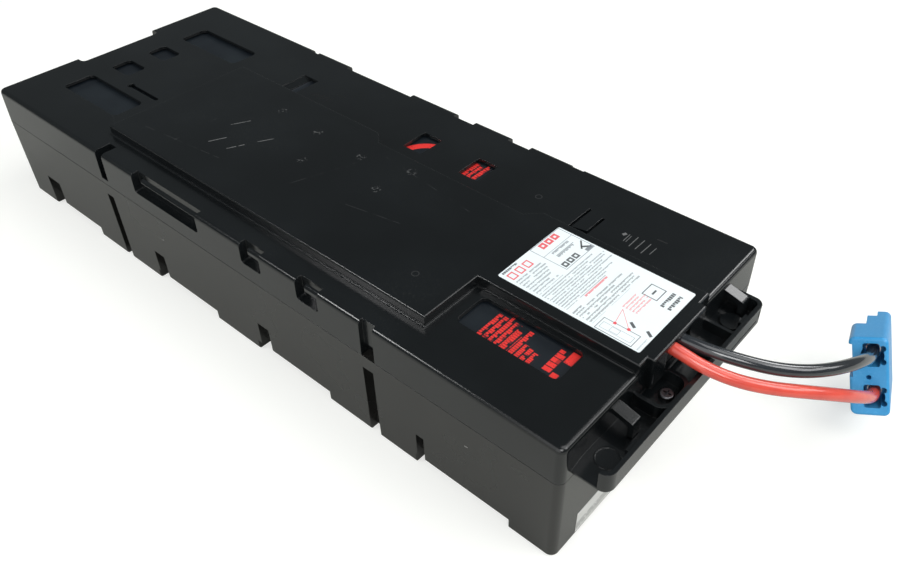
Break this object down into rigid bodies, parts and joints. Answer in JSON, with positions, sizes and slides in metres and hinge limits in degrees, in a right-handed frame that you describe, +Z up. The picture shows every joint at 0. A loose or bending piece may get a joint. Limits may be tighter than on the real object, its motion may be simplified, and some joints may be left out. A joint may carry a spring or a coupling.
{
  "type": "ups battery cartridge",
  "caption": "Long rack battery cartridge: moulded tray and cover around a row of sealed batteries, with a short cable pair and a blue power connector at one end.",
  "frame": {"origin": "middle of the casing's underside, the ledge at the cable end counted in", "axes": "+Z up, X along the cartridge with the cable end at +X, Y across it"},
  "size_m": [0.5284, 0.2066, 0.0827],
  "materials": {
    "black_plastic": "satin",
    "battery_case": "satin",
    "battery_lid": "satin",
    "tinned_contact": "satin",
    "brass": "satin",
    "boot": "satin",
    "red_insulation": "gloss",
    "black_insulation": "gloss",
    "fuse": "gloss",
    "foam": "matt",
    "screw": "satin",
    "label": "gloss",
    "blue_plastic": "satin"
  },
  "bodies": {
    "root": {"battery_jar_1": "battery_case", "battery_jar_2": "battery_case", "battery_jar_3": "battery_case", "battery_jar_4": "battery_case", "battery_lid_1": "battery_lid", "battery_lid_2": "battery_lid", "battery_lid_3": "battery_lid", "battery_lid_4": "battery_lid", "black_cable": "black_insulation", "cable_clamp": "black_plastic", "connector_contacts": "tinned_contact", "connector_housing": "blue_plastic", "cover_screw": "screw", "end_sticker": "label", "foam_pads": "foam", "fuse": "fuse", "fuse_holder": "black_plastic", "jumper_lead_12": "red_insulation", "jumper_lead_34": "red_insulation", "link_lead_a": "red_insulation", "link_lead_b": "red_insulation", "lower_tray": "black_plastic", "negative_lead": "black_insulation", "negative_tabs": "tinned_contact", "positive_lead": "red_insulation", "positive_tabs": "tinned_contact", "receptacles": "brass", "red_cable": "red_insulation", "terminal_boots": "boot", "top_label": "label", "upper_cover": "black_plastic", "vent_cover_1": "battery_lid", "vent_cover_2": "battery_lid", "vent_cover_3": "battery_lid", "vent_cover_4": "battery_lid"}
  },
  "joints": []
}
